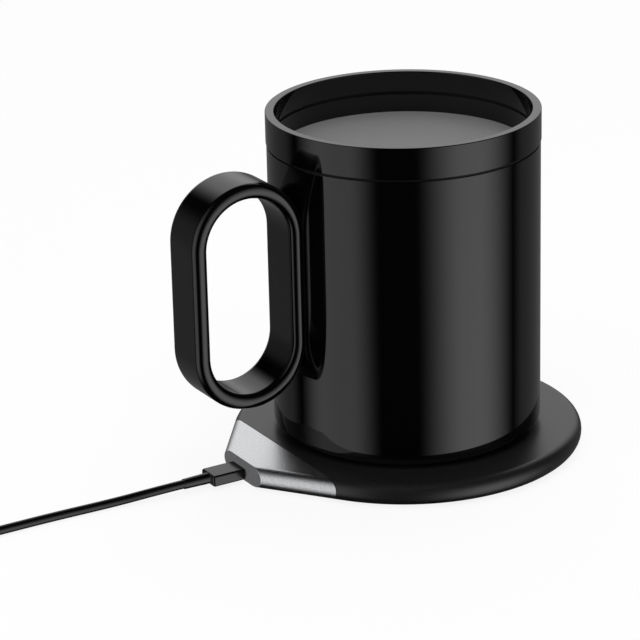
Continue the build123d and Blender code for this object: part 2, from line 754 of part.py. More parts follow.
carrier_screw_length = insulation_z - foot_floor_z - 2 * part_fit
carrier_screw = screw(small_head_radius, small_head_height, small_shank_radius, carrier_screw_length)
with BuildPart() as carrier_screws:
    with Locations(*[(x, y, foot_floor_z) for x, y in carrier_screw_points]):
        add(carrier_screw)
save(carrier_screws, "carrier_screws")

for name, low, thickness, radius in (
    ("insulation_disc", insulation_z, insulation_thickness, heater_radius),
    ("heater_film", film_z, film_thickness, heater_radius - film_inset),
):
    with BuildPart() as heater_layer:
        with BuildSketch(Plane.XY.offset(low)):
            Circle(radius)
            Circle(sensor_radius + part_fit, mode=Mode.SUBTRACT)
        extrude(amount=thickness)
    save(heater_layer, name)

with BuildPart() as heater_plate:
    with BuildSketch(Plane.XY.offset(heater_z)):
        Circle(heater_radius)
    extrude(amount=heater_plate_thickness)
save(heater_plate, "heater_plate")

with BuildPart() as temperature_sensor:
    with BuildSketch(Plane.XY.offset(insulation_z)):
        Circle(sensor_radius)
    extrude(amount=heater_z - insulation_z)
    fillet(temperature_sensor.faces().sort_by(Axis.Z)[-1].edges(), sensor_edge_radius)
save(temperature_sensor, "temperature_sensor")

# ---------------------------------------------------------------- cable
# Plug: a square-edged overmould around the steel tip.
with BuildPart() as plug_body:
    with BuildSketch(Plane.YZ.offset(plug_back)):
        with Locations((port_y, port_z)):
            Rectangle(plug_width, plug_thickness)
    extrude(amount=plug_length)
    fillet(plug_body.edges(), plug_edge_radius)
    with BuildSketch(Plane.YZ.offset(-nose_reach)):
        with Locations((port_y, port_z)):
            RectangleRounded(plug_tip_width, plug_tip_height, plug_tip_corner)
    extrude(amount=-plug_tip_inset, mode=Mode.SUBTRACT)
save(plug_body, "plug_body")

with BuildPart() as plug_tip:
    with BuildSketch(Plane.YZ.offset(-(nose_reach + plug_tip_inset))):
        with Locations((port_y, port_z)):
            RectangleRounded(plug_tip_width, plug_tip_height, plug_tip_corner)
            RectangleRounded(
                plug_tip_width - 2 * plug_tip_wall,
                plug_tip_height - 2 * plug_tip_wall,
                plug_tip_corner - plug_tip_wall / 2,
                mode=Mode.SUBTRACT,
            )
    extrude(amount=plug_tip_inset + plug_tip_length)
save(plug_tip, "plug_tip")

with BuildPart() as plug_boot:
    with BuildSketch(Plane.YZ.offset(plug_back)):
        with Locations((port_y, port_z)):
            Circle(boot_radius)
    with BuildSketch(Plane.YZ.offset(boot_back)):
        with Locations((port_y, port_z)):
            Circle(boot_end_radius)
    loft()
save(plug_boot, "plug_boot")

# Cord: out of the boot, down to the desk and away, then into a neat round coil. The
# points are relative to the coil's centre where they are close to it.
cord_points = [
    (boot_back, port_y, port_z),
    (boot_back - 9.0, port_y, port_z),
    (boot_back - 22.0, 4.1, cord_radius),
    (boot_back - 43.0, 4.9, cord_radius),
    (boot_back - 62.0, 4.7, cord_radius),
    (coil_x, coil_entry_y, coil_low_z),
]
tail_points = [
    (coil_x, coil_entry_y, coil_high_z),
    (coil_x - 12.0, coil_entry_y, coil_high_z - 1.1),
    (coil_x - 25.0, coil_entry_y + 5.0, cord_radius),
    (coil_x - 34.0, coil_entry_y + 15.5, cord_radius + 0.2),
    (usb_x, usb_boot_y - 9.5, usb_z),
    (usb_x, usb_boot_y, usb_z),
]


def corner_radii(points):
    # Radius of the arc at each corner of a route: 0.45 of the shorter run beside it,
    # over the tangent of half the turn.
    radii = []
    for before, corner, after in zip(points, points[1:], points[2:]):
        run_in = Vector(*corner) - Vector(*before)
        run_out = Vector(*after) - Vector(*corner)
        turn = radians(run_in.get_angle(run_out))
        radii.append(0.45 * min(run_in.length, run_out.length) / tan(turn / 2))
    return radii


def cord_tube(points, name):
    # Round tube along straight runs joined by tangent arcs. Returns its length.
    radii = corner_radii(points)
    with BuildPart() as tube:
        with BuildLine() as route:
            FilletPolyline(*points, radius=radii)
        with BuildSketch(Plane(route.line @ 0, z_dir=route.line % 0)):
            Circle(cord_radius)
        sweep(path=route.line)
    length = sum(edge.length for edge in route.edges())
    fullness = tube.part.volume / (pi * cord_radius**2 * length)
    print(f"{name}: {length:.1f} mm long, volume {fullness:.4f} of section times length")
    print(f"{name}: corner radii {[round(radius, 1) for radius in radii]}")
    save(tube, name)
    return length


lead_length = cord_tube(cord_points, "cord")
tail_length = cord_tube(tail_points, "cord_tail")

# Coil, as one ring of the turns' outer shape, and the tie round it.
with BuildPart() as cord_coil:
    with BuildSketch(Plane((coil_x, coil_y, tie_thickness))):
        Circle(coil_turn_radii[-1] + cord_radius)
        Circle(coil_turn_radii[0] - cord_radius, mode=Mode.SUBTRACT)
    extrude(amount=coil_layers * cord_diameter)
save(cord_coil, "cord_coil")
coil_length = coil_layers * sum(2 * pi * radius for radius in coil_turn_radii)
print(f"coil: {coil_length:.1f} mm; whole cord: {lead_length + coil_length + tail_length:.1f} mm")

coil_band = coil_columns * cord_diameter
coil_middle_x = coil_x + coil_middle_radius
with BuildPart() as coil_tie:
    with BuildSketch(Plane.XZ.offset(-(coil_y + tie_width / 2))):
        with Locations((coil_middle_x, tie_thickness + coil_layers * cord_radius)):
            RectangleRounded(
                coil_band + 2 * (tie_bow + tie_thickness),
                coil_layers * cord_diameter + 2 * tie_thickness,
                tie_corner_radius,
            )
            Rectangle(coil_band + 2 * tie_bow, coil_layers * cord_diameter, mode=Mode.SUBTRACT)
    extrude(amount=tie_width)
save(coil_tie, "coil_tie")

# Plug at the far end of the cable: boot, body, steel tip and contact tongue, along +Y.
with BuildPart() as usb_boot:
    with BuildSketch(Plane.XZ.offset(-usb_boot_y)):
        with Locations((usb_x, usb_z)):
            Circle(usb_boot_end_radius)
    with BuildSketch(Plane.XZ.offset(-usb_body_y)):
        with Locations((usb_x, usb_z)):
            Circle(usb_boot_radius)
    loft()
save(usb_boot, "usb_boot")

with BuildPart() as usb_body:
    with BuildSketch(Plane.XZ.offset(-usb_body_y)):
        with Locations((usb_x, usb_z)):
            Rectangle(usb_width, usb_thickness)
    extrude(amount=-usb_length)
    fillet(usb_body.edges(), usb_edge_radius)
    with BuildSketch(Plane.XZ.offset(-usb_tip_y)):
        with Locations((usb_x, usb_z)):
            Rectangle(usb_tip_width, usb_tip_height)
    extrude(amount=usb_inset, mode=Mode.SUBTRACT)
save(usb_body, "usb_body")

with BuildPart() as usb_tip:
    with BuildSketch(Plane.XZ.offset(-(usb_tip_y - usb_inset))):
        with Locations((usb_x, usb_z)):
            Rectangle(usb_tip_width, usb_tip_height)
            Rectangle(usb_tip_width - 2 * usb_tip_wall, usb_tip_height - 2 * usb_tip_wall, mode=Mode.SUBTRACT)
    extrude(amount=-(usb_inset + usb_tip_length))
    with BuildSketch(Plane.XY.offset(usb_z)):
        window_y = usb_tip_y + usb_tip_length * usb_window_share
        with Locations(*[(usb_x + side * usb_tip_width / 4, window_y) for side in (-1, 1)]):
            Rectangle(usb_tip_window, usb_tip_window)
    extrude(amount=usb_tip_height, mode=Mode.SUBTRACT)
save(usb_tip, "usb_tip")

with BuildPart() as usb_tongue:
    with BuildSketch(Plane.XZ.offset(-(usb_tip_y - usb_inset))):
        with Locations((usb_x, usb_z - usb_tip_height / 2 + usb_tip_wall + usb_tongue_thickness / 2)):
            Rectangle(usb_tip_width - 2 * usb_tip_wall, usb_tongue_thickness)
    extrude(amount=-(usb_inset + usb_tip_length - tongue_end_gap))
save(usb_tongue, "usb_tongue")
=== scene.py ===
import math
import bmesh
import bpy
from mathutils import Matrix, Vector


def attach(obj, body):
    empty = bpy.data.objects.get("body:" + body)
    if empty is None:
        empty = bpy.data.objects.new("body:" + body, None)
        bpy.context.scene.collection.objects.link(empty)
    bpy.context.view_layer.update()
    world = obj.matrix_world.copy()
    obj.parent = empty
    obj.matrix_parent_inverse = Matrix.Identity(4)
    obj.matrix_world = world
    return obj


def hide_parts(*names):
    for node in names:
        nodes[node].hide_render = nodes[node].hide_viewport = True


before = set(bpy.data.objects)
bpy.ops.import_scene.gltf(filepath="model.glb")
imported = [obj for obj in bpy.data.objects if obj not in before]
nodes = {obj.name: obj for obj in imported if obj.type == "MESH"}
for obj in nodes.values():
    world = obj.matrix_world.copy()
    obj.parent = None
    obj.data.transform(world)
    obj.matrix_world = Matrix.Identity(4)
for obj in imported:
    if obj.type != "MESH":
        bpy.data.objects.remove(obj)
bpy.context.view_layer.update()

mm = 0.001


# small helpers, all sizes in millimetres

def deselectAll():
    if bpy.context.mode != "OBJECT":
        bpy.ops.object.mode_set(mode="OBJECT")
    bpy.ops.object.select_all(action="DESELECT")


def placed(x, y, z):
    return (x * mm, y * mm, z * mm)


def begin(name):
    # the primitive just added: its place goes into its mesh, and edit mode opens on it
    piece = bpy.context.active_object
    piece.name = piece.data.name = name
    bpy.ops.object.transform_apply(location=True, rotation=True, scale=True)
    bpy.ops.object.mode_set(mode="EDIT")
    return piece


def pick(piece, kind, test):
    # selects only the vertices, edges or faces for which test is true, in edit mode
    bpy.ops.mesh.select_mode(type=kind)
    bpy.ops.mesh.select_all(action="DESELECT")
    mesh = bmesh.from_edit_mesh(piece.data)
    for item in {"VERT": mesh.verts, "EDGE": mesh.edges, "FACE": mesh.faces}[kind]:
        if test(item):
            item.select_set(True)
    mesh.select_flush_mode()
    bmesh.update_edit_mesh(piece.data)


def near(value, target, slack=0.004):
    # a length in metres against a size in millimetres
    return abs(value / mm - target) < slack


def ringRadius(point):
    return math.hypot(point.x, point.y)


def roundEdges(width, segments):
    # bevels the picked edges
    bpy.ops.mesh.bevel(offset=width * mm, segments=segments, affect="EDGES", clamp_overlap=False)


def roundRing(piece, radius, height, width, segments=4):
    # rounds the ring of edges at one radius and height
    def onRing(edge):
        return all(near(ringRadius(v.co), radius) and near(v.co.z, height) for v in edge.verts)

    pick(piece, "EDGE", onRing)
    roundEdges(width, segments)


def faceOutwards():
    bpy.ops.mesh.select_all(action="SELECT")
    bpy.ops.mesh.normals_make_consistent(inside=False)


def turned(name, outline, steps, closed=False, capped=False):
    # one ring extruded along an outline of (radius, height) pairs
    deselectAll()
    radius, height = outline[0]
    bpy.ops.mesh.primitive_circle_add(vertices=steps, radius=radius * mm, location=placed(0, 0, height))
    piece = begin(name)
    bpy.ops.mesh.select_all(action="SELECT")
    if capped:
        bpy.ops.mesh.edge_face_add()
        pick(piece, "EDGE", lambda edge: True)
    for (oldRadius, oldHeight), (newRadius, newHeight) in zip(outline, outline[1:]):
        bpy.ops.mesh.extrude_edges_move(TRANSFORM_OT_translate={"value": placed(0, 0, newHeight - oldHeight)})
        grow = newRadius / oldRadius
        bpy.ops.transform.resize(value=(grow, grow, 1), center_override=placed(0, 0, newHeight))
    if capped:
        bpy.ops.mesh.edge_face_add()
    if closed:
        pick(piece, "EDGE", lambda edge: edge.is_boundary)
        bpy.ops.mesh.bridge_edge_loops()
    faceOutwards()
    return piece


def blockAt(name, low, high):
    # a box between two corners, used as a cutter or as a start
    deselectAll()
    middle = [(a + b) / 2 for a, b in zip(low, high)]
    size = [(b - a) * mm for a, b in zip(low, high)]
    bpy.ops.mesh.primitive_cube_add(size=1, location=placed(*middle), scale=size)
    piece = begin(name)
    bpy.ops.mesh.select_all(action="SELECT")
    return piece


def upright(radius, low, high, steps):
    # a cylinder about the Z axis, used as a cutter
    deselectAll()
    bpy.ops.mesh.primitive_cylinder_add(
        vertices=steps, radius=radius * mm, depth=(high - low) * mm, location=placed(0, 0, (low + high) / 2)
    )
    return bpy.context.active_object


def cutAway(piece, cutter):
    # exact boolean, applied, and the cutter deleted
    deselectAll()
    piece.select_set(True)
    bpy.context.view_layer.objects.active = piece
    cut = piece.modifiers.new("cut", "BOOLEAN")
    cut.operation = "DIFFERENCE"
    cut.solver = "EXACT"
    cut.object = cutter
    bpy.ops.object.modifier_apply(modifier=cut.name)
    bpy.data.objects.remove(cutter)


def layDown(piece, place, turn):
    # from upright at the origin to its place, with the turn in its mesh
    bpy.ops.object.mode_set(mode="OBJECT")
    piece.matrix_world = Matrix.Translation(placed(*place)) @ turn
    bpy.ops.object.transform_apply(location=True, rotation=True, scale=True)


def finished(piece, body, material, stands=(), smoothAngle=32):
    # smooth shading, material and its place on the CAD body
    deselectAll()
    piece.select_set(True)
    bpy.context.view_layer.objects.active = piece
    bpy.ops.object.shade_smooth_by_angle(angle=math.radians(smoothAngle))
    even = piece.modifiers.new("evenNormals", "WEIGHTED_NORMAL")
    even.keep_sharp = True
    bpy.ops.object.modifier_apply(modifier=even.name)
    piece.data.materials.clear()
    piece.data.materials.append(material)
    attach(piece, body)
    if stands:
        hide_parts(*stands)
    return piece


# camera

view = {
    "place": (-474.178, -762.340, 377.371),
    "right": (0.859991, -0.509817, -0.022410),
    "up": (0.197246, 0.291584, 0.935987),
    "lens": 173.35,
    "sensor": 36,
    "clip": (0.01, 20),
}


def addCamera():
    camera = bpy.data.objects.new("camera", bpy.data.cameras.new("camera"))
    bpy.context.scene.collection.objects.link(camera)
    camera.data.lens = view["lens"]
    camera.data.sensor_width = view["sensor"]
    camera.data.clip_start, camera.data.clip_end = view["clip"]
    right, up = Vector(view["right"]), Vector(view["up"])
    turn = Matrix((right, up, right.cross(up))).transposed()
    camera.matrix_world = Matrix.Translation(placed(*view["place"])) @ turn.to_4x4()
    bpy.context.scene.camera = camera


bpy.context.scene.view_settings.view_transform = "Standard"
addCamera()
print("camera placed")


# materials

def linear(hexColour):
    # sRGB hex to the linear colour that the shader takes
    def channel(text):
        value = int(text, 16) / 255
        return value / 12.92 if value <= 0.04045 else ((value + 0.055) / 1.055) ** 2.4

    return (channel(hexColour[1:3]), channel(hexColour[3:5]), channel(hexColour[5:7]), 1.0)


def addNode(tree, kind, settings=None, links=None):
    # settings are node properties or input values, links go from input name to an output socket
    node = tree.nodes.new(kind)
    for key, value in (settings or {}).items():
        if isinstance(key, int) or key in node.inputs:
            node.inputs[key].default_value = value
        else:
            setattr(node, key, value)
    for key, source in (links or {}).items():
        tree.links.new(source, node.inputs[key])
    return node


def startMaterial(name, colour, roughness, metallic=0.0, ior=1.5):
    material = bpy.data.materials.new(name)
    material.use_nodes = True
    tree = material.node_tree
    shader = tree.nodes["Principled BSDF"]
    shader.inputs["Base Color"].default_value = linear(colour)
    shader.inputs["Roughness"].default_value = roughness
    shader.inputs["Metallic"].default_value = metallic
    shader.inputs["IOR"].default_value = ior
    place = addNode(tree, "ShaderNodeTexCoord").outputs["Object"]
    return material, tree, shader, place


def perMillimetre(size):
    # texture scale whose features are about this many millimetres across
    return 1000.0 / size


def mottle(tree, shader, place, size, dark, light, detail=3.0):
    # base colour drifting between two close tones
    pattern = {"Scale": perMillimetre(size), "Detail": detail}
    noise = addNode(tree, "ShaderNodeTexNoise", pattern, {"Vector": place})
    tones = {"data_type": "RGBA", "A": linear(dark), "B": linear(light)}
    mix = addNode(tree, "ShaderNodeMix", tones, {"Factor": noise.outputs["Fac"]})
    tree.links.new(mix.outputs[2], shader.inputs["Base Color"])


def vary(tree, shader, place, size, low, high, detail=3.0):
    # roughness drifting between two values
    pattern = {"Scale": perMillimetre(size), "Detail": detail}
    noise = addNode(tree, "ShaderNodeTexNoise", pattern, {"Vector": place})
    spread = addNode(tree, "ShaderNodeMapRange", {3: low, 4: high}, {0: noise.outputs["Fac"]})
    tree.links.new(spread.outputs[0], shader.inputs["Roughness"])


def skin(tree, shader, place, size, depth, strength, detail=2.0):
    # surface grain of this size and depth in millimetres
    pattern = {"Scale": perMillimetre(size), "Detail": detail}
    noise = addNode(tree, "ShaderNodeTexNoise", pattern, {"Vector": place})
    raised = {"Distance": depth * mm, "Strength": strength}
    bump = addNode(tree, "ShaderNodeBump", raised, {"Height": noise.outputs["Fac"]})
    tree.links.new(bump.outputs["Normal"], shader.inputs["Normal"])


def makeLacquer():
    # sprayed and polished black lacquer on steel: a deep mirror gloss with the faintest orange peel
    material, tree, shader, place = startMaterial("polishedLacquer", "#050505", 0.02, ior=1.5)
    mottle(tree, shader, place, 9.0, "#030303", "#060606")
    vary(tree, shader, place, 3.0, 0.015, 0.035)
    skin(tree, shader, place, 2.5, 0.0015, 0.35, detail=1.0)
    return material


def makePianoPlastic():
    # piano-black moulded ABS: gloss a little softer than the lacquer, with the moulding's faint flow
    material, tree, shader, place = startMaterial("pianoBlackAbs", "#050505", 0.04, ior=1.52)
    mottle(tree, shader, place, 7.0, "#030303", "#070707")
    vary(tree, shader, place, 1.2, 0.03, 0.07)
    skin(tree, shader, place, 3.0, 0.0015, 0.3)
    return material


def makeSatinAbs():
    # spark-textured black ABS: a soft satin, a shade lighter than gloss black
    # its fine grain is drawn 0.5 mm across, so that it shows
    material, tree, shader, place = startMaterial("satinAbs", "#161616", 0.36, ior=1.58)
    mottle(tree, shader, place, 0.5, "#0a0a0a", "#222222", detail=1.0)
    vary(tree, shader, place, 0.4, 0.31, 0.41)
    skin(tree, shader, place, 0.25, 0.012, 0.35)
    return material


def makeBlastedAluminium():
    # bead-blasted aluminium: bright and silky, broken up by small round craters
    # the craters are drawn about 0.4 mm across, coarser than real ones, so that they show
    material, tree, shader, place = startMaterial("blastedAluminium", "#dedfe1", 0.33, metallic=1.0)
    mottle(tree, shader, place, 0.6, "#c8c9cc", "#f8f9fb", detail=1.0)
    vary(tree, shader, place, 0.4, 0.26, 0.4)
    cells = {"Scale": perMillimetre(0.42), "feature": "SMOOTH_F1"}
    craters = addNode(tree, "ShaderNodeTexVoronoi", cells, {"Vector": place})
    dust = {"Scale": perMillimetre(0.3), "Detail": 2.0}
    fine = addNode(tree, "ShaderNodeTexNoise", dust, {"Vector": place})
    heights = {0: craters.outputs["Distance"], 1: fine.outputs["Fac"]}
    both = addNode(tree, "ShaderNodeMath", {"operation": "ADD"}, heights)
    raised = {"Distance": 0.05 * mm, "Strength": 0.6}
    bump = addNode(tree, "ShaderNodeBump", raised, {"Height": both.outputs[0]})
    tree.links.new(bump.outputs["Normal"], shader.inputs["Normal"])
    return material


def makeDrink():
    # black sesame milk: opaque, neutral grey and still, with a dull skin that evens out the light
    material, tree, shader, place = startMaterial("sesameMilk", "#747474", 0.55, ior=1.35)
    mottle(tree, shader, place, 14.0, "#727272", "#767676")
    vary(tree, shader, place, 5.0, 0.5, 0.6)
    skin(tree, shader, place, 20.0, 0.01, 0.2, detail=0.0)
    return material


def makeRubber():
    # moulded silicone: dull, slightly cloudy with bloom
    material, tree, shader, place = startMaterial("siliconeRubber", "#050505", 0.6, ior=1.4)
    mottle(tree, shader, place, 2.5, "#030303", "#080808")
    vary(tree, shader, place, 0.8, 0.5, 0.72)
    skin(tree, shader, place, 0.3, 0.01, 0.4)
    return material


def makeCableJacket():
    # extruded TPE jacket: black with a half gloss that runs along it as a thin line, and faint drag
    material, tree, shader, place = startMaterial("tpeJacket", "#060606", 0.24, ior=1.5)
    mottle(tree, shader, place, 1.5, "#040404", "#090909")
    vary(tree, shader, place, 0.7, 0.19, 0.3)
    skin(tree, shader, place, 0.35, 0.01, 0.3)
    return material


def makePlugPlastic():
    # moulded PVC overmould of the plugs: black with a half gloss over a fine spark texture
    # the texture is drawn 0.25 mm across, so that it shows
    material, tree, shader, place = startMaterial("plugPvc", "#060606", 0.22, ior=1.53)
    mottle(tree, shader, place, 1.0, "#040404", "#090909")
    vary(tree, shader, place, 0.4, 0.17, 0.28)
    skin(tree, shader, place, 0.25, 0.01, 0.35)
    return material


def makePlatedSteel():
    # nickel-plated steel strip: bright, with rolling lines drawn 0.15 mm apart so that they show
    material, tree, shader, place = startMaterial("nickelPlatedSteel", "#c9c6c0", 0.22, metallic=1.0)
    mottle(tree, shader, place, 1.2, "#bfbcb6", "#d3d0ca")
    drawn = addNode(tree, "ShaderNodeMapping", {"Scale": (0.05, 1.0, 1.0)}, {"Vector": place}).outputs[0]
    rolled = {"Scale": perMillimetre(0.15), "Detail": 2.0}
    lines = addNode(tree, "ShaderNodeTexNoise", rolled, {"Vector": drawn}).outputs["Fac"]
    spread = addNode(tree, "ShaderNodeMapRange", {3: 0.15, 4: 0.32}, {0: lines})
    tree.links.new(spread.outputs[0], shader.inputs["Roughness"])
    bump = addNode(tree, "ShaderNodeBump", {"Distance": 0.004 * mm, "Strength": 0.4}, {"Height": lines})
    tree.links.new(bump.outputs["Normal"], shader.inputs["Normal"])
    return material


def makePlain(name, tones, roughness, metallic=0.0, ior=1.5, grainSize=0.6, depth=0.01):
    # inner pieces: two close tones, uneven gloss and a skin of the given grain
    material, tree, shader, place = startMaterial(name, tones[0], roughness, metallic, ior)
    mottle(tree, shader, place, grainSize * 3, *tones)
    vary(tree, shader, place, grainSize, roughness * 0.85, min(1.0, roughness * 1.2))
    skin(tree, shader, place, grainSize, depth, 0.4)
    return material


lacquer = makeLacquer()
pianoPlastic = makePianoPlastic()
satinAbs = makeSatinAbs()
blastedAluminium = makeBlastedAluminium()
drinkSurface = makeDrink()
silicone = makeRubber()
cableJacket = makeCableJacket()
plugPlastic = makePlugPlastic()
platedSteel = makePlatedSteel()
# black oxide on the screws: dark metal with dull glints
screwSteel = makePlain("blackOxideSteel", ("#2a2a2b", "#3a3a3c"), 0.4, metallic=1.0, grainSize=0.3)
# copper wire under clear enamel: a warm red-brown shine
copperWire = makePlain("enamelledCopper", ("#a4552b", "#bf6d3c"), 0.3, metallic=1.0, grainSize=0.4)
# sintered ferrite: charcoal grey and dull like stone
ferriteCeramic = makePlain("sinteredFerrite", ("#2b2c2e", "#3a3b3d"), 0.55, grainSize=0.5)
# glass fibre board under solder mask: dark green with a low gloss
boardLaminate = makePlain("fr4Laminate", ("#0c3a22", "#12492c"), 0.35, grainSize=0.8)
# moulded chip bodies: near black and evenly dull
chipResin = makePlain("epoxyResin", ("#161617", "#202022"), 0.5, grainSize=0.3)
# sintered capacitors: sandy brown and half matt
ceramicChip = makePlain("bariumTitanateCeramic", ("#a58a63", "#b99d75"), 0.45, grainSize=0.3)
# contact carriers: smooth dark grey
contactPlastic = makePlain("liquidCrystalPolymer", ("#1b1b1d", "#26262a"), 0.45, grainSize=0.3)
# the mug's recessed foot: a black that swallows the light
footPlastic = makePlain("mattPbt", ("#040404", "#070707"), 0.8, ior=1.45, grainSize=0.4)
# glass-filled heater carrier: brownish black with a fine fleck
carrierPlastic = makePlain("glassFilledPps", ("#1d1a17", "#2a2622"), 0.5, grainSize=0.4)
# ceramic fibre felt: off-white and soft, without gloss
insulationFelt = makePlain("ceramicFelt", ("#cfcabd", "#e4dfd2"), 0.95, grainSize=1.2, depth=0.15)
# film heater: glossy amber
heaterFilm = makePlain("polyimideFilm", ("#9c5a16", "#b8701f"), 0.25, grainSize=1.5)
# rolled plate: pale silver with a soft sheen
rolledAluminium = makePlain("rolledAluminium", ("#c4c5c8", "#d6d7da"), 0.3, metallic=1.0, grainSize=0.5)
# sensor bead: glassy blue-black
sensorEpoxy = makePlain("sensorEpoxy", ("#1f2530", "#2a313e"), 0.3, grainSize=0.5)
# woven strap: black with a coarse, dull weave
strapNylon = makePlain("wovenNylon", ("#0d0d0e", "#1a1a1c"), 0.75, grainSize=0.35, depth=0.05)

nodeMaterials = {
    "bottom_cover": satinAbs,
    "foot_pad": silicone,
    "cover_screws": screwSteel,
    "power_coil": copperWire,
    "ferrite_disc": ferriteCeramic,
    "circuit_board": boardLaminate,
    "board_screws": screwSteel,
    "driver_chips": chipResin,
    "power_inductor": ferriteCeramic,
    "capacitors": ceramicChip,
    "coil_leads": copperWire,
    "usb_socket": platedSteel,
    "socket_tongue": contactPlastic,
    "base_housing": satinAbs,
    "corner_trim": blastedAluminium,
    "mug_shell": lacquer,
    "rim_ring": lacquer,
    "rim_seal": silicone,
    "mug_liner": lacquer,
    "handle_loop": pianoPlastic,
    "handle_screws": screwSteel,
    "foot_cover": footPlastic,
    "mug_foot_ring": silicone,
    "foot_gasket": silicone,
    "receiver_coil": copperWire,
    "receiver_ferrite": ferriteCeramic,
    "mug_board": boardLaminate,
    "mug_board_screws": screwSteel,
    "mug_chips": chipResin,
    "heater_carrier": carrierPlastic,
    "carrier_screws": screwSteel,
    "insulation_disc": insulationFelt,
    "heater_film": heaterFilm,
    "heater_plate": rolledAluminium,
    "temperature_sensor": sensorEpoxy,
    "plug_body": plugPlastic,
    "plug_tip": platedSteel,
    "plug_boot": plugPlastic,
    "cord": cableJacket,
    "cord_coil": cableJacket,
    "cord_tail": cableJacket,
    "coil_tie": strapNylon,
    "usb_boot": plugPlastic,
    "usb_body": plugPlastic,
    "usb_tip": platedSteel,
    "usb_tongue": contactPlastic,
}
for name, node in nodes.items():
    node.data.materials.clear()
    node.data.materials.append(nodeMaterials[name])
print("materials made and given to the CAD nodes")


# cord: from the plug's boot to the desk, away to its coil and on to the far plug

cable = {
    "diameter": 2.8,
    "length": 982.6,
    "lead": [
        (-79.3, 1.4, 3.0), (-88.3, 1.4, 3.0), (-101.3, 4.1, 1.4), (-122.3, 4.9, 1.4), (-141.3, 4.7, 1.4),
    ],
    "tail": [
        (-170, 4.3, 3.6), (-183, 9.3, 1.4), (-192, 19.8, 1.6), (-193.4, 29.8, 3.8), (-193.4, 39.3, 3.8),
    ],
    "coilCentre": (-158.0, 25.3),
    "turnRadii": (21.0, 18.2, 15.4, 12.6),
    "layers": (1.9, 4.7),
    "pointsPerTurn": 16,
    "stepPoints": 4,
    "tuck": 2.6,
    "curveSteps": 6,
    "sideSteps": 5,
}


def coilPoints():
    # four turns wound inwards below and four outwards above, each with one short step across
    count, step = cable["pointsPerTurn"], cable["stepPoints"]
    centreX, centreY = cable["coilCentre"]
    widen = 1 / math.cos(math.pi / count)  # the curve runs inside its points
    radii = list(cable["turnRadii"])
    low, high = cable["layers"]
    turns = [(r, n, low, low) for r, n in zip(radii, radii[1:])]
    turns.append((radii[-1], radii[-1], low, high))
    turns += [(r, n, high, high) for r, n in zip(radii[::-1], radii[::-1][1:])]
    turns.append((radii[0], radii[0], high, high))
    points = []
    for radius, nextRadius, height, nextHeight in turns:
        for i in range(count):
            share = max(0, i - (count - step)) / step
            share = share * share * (3 - 2 * share)
            # the climb to the upper layer swings inwards, clear of the turns beside it
            tuck = cable["tuck"] * math.sin(math.pi * share) if nextHeight != height else 0
            r = (radius + (nextRadius - radius) * share - tuck) * widen
            angle = -math.pi / 2 - 2 * math.pi * i / count
            x, y = centreX + r * math.cos(angle), centreY + r * math.sin(angle)
            points.append((x, y, height + (nextHeight - height) * share))
    points.append((centreX, centreY - radii[0], high))
    return points


def addCord():
    route = cable["lead"] + coilPoints() + cable["tail"]
    curve = bpy.data.curves.new("powerCord", "CURVE")
    curve.dimensions = "3D"
    spline = curve.splines.new("NURBS")
    spline.points.add(len(route) - 1)
    for point, place in zip(spline.points, route):
        point.co = (*placed(*place), 1)
    spline.order_u = 3
    spline.use_endpoint_u = True
    spline.resolution_u = cable["curveSteps"]
    curve.bevel_depth = cable["diameter"] / 2 * mm
    curve.bevel_resolution = cable["sideSteps"]
    curve.use_fill_caps = True
    cord = bpy.data.objects.new("powerCord", curve)
    bpy.context.scene.collection.objects.link(cord)
    curve.materials.append(cableJacket)
    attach(cord, "cable")
    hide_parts("cord", "cord_coil", "cord_tail")
    return cord


powerCord = addCord()
print("cord laid")


# warming pad: one rounded form, parted at the seam into the black shell and the metal nose

pad = {
    "radius": 54.7,
    "bottom": 0.3,
    "top": 7.2,
    "topEdge": 3.1,
    "bottomEdge": 3.6,
    "portFace": 59.6,
    "portHalfWidth": 11.4,
    "tangentSlack": 0.3,  # circle points nearer than this to the tangent are dropped
    "seamPastTangent": 0.8,
    "seamGap": 0.1,
    "seamEdge": 0.08,
    "steps": 256,
    "edgeSteps": 8,
}
reach, halfWidth = pad["portFace"], pad["portHalfWidth"]
flankAngle = math.acos(pad["radius"] / math.hypot(reach, halfWidth)) + math.atan2(halfWidth, reach)
seamX = -(pad["radius"] * math.cos(flankAngle) + pad["seamPastTangent"])
tangentPoint = (-pad["radius"] * math.cos(flankAngle), pad["radius"] * math.sin(flankAngle))
formEnd = (reach + pad["radius"] / math.cos(flankAngle)) / 2
formEndY = tangentPoint[1] - (formEnd + tangentPoint[0]) / math.tan(flankAngle)


